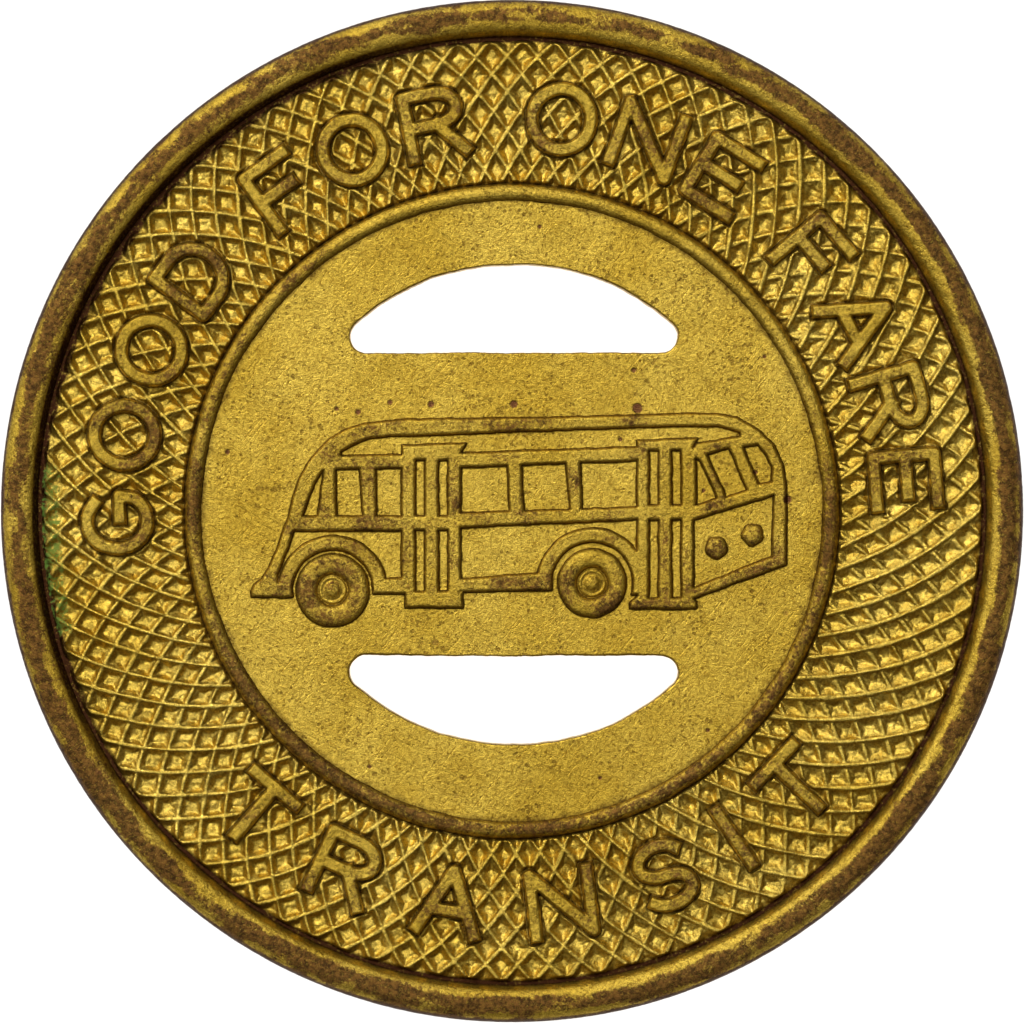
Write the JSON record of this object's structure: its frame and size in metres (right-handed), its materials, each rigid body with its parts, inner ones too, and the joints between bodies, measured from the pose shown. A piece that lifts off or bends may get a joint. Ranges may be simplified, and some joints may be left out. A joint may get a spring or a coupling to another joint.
{
  "type": "transit token",
  "caption": "Pierced brass fare token: rounded rim, hatched border, inner ring, two segment-shaped cut-outs and a bus in relief on each face.",
  "frame": {"origin": "centre of the disc, on the plane that the reverse rim rests on", "axes": "+Z out of the obverse, along the disc's axis; +Y towards the bus's roof; +X the way the bus on the obverse drives"},
  "size_m": [0.023, 0.023, 0.0016],
  "materials": {
    "field_brass": "smooth struck, lightly pitted",
    "hatched_brass": "crossed ridges with bright pits",
    "toned_brass": "worn and toned brown on the high points"
  },
  "bodies": {
    "root": {"outer_rim": "toned_brass", "web": "field_brass", "centre_field": "field_brass", "inner_ring": "toned_brass", "inner_ring_reverse": "toned_brass", "hatching": "hatched_brass", "hatching_reverse": "hatched_brass", "roof": "toned_brass", "rear_quarter": "toned_brass", "rear_tail": "toned_brass", "rear_header": "toned_brass", "side_header": "toned_brass", "window_posts": "toned_brass", "rear_belt": "toned_brass", "side_belt": "toned_brass", "rear_door": "toned_brass", "front_door": "toned_brass", "windscreen_frame": "toned_brass", "nose_post": "toned_brass", "chin_bar": "toned_brass", "headlamps": "toned_brass", "rear_skirt": "toned_brass", "side_skirt": "toned_brass", "rear_fender": "toned_brass", "front_fender": "toned_brass", "rear_tyre": "toned_brass", "front_tyre": "toned_brass", "rear_hub": "toned_brass", "front_hub": "toned_brass", "bus_reverse": "toned_brass", "wheels_reverse": "toned_brass"}
  },
  "joints": []
}
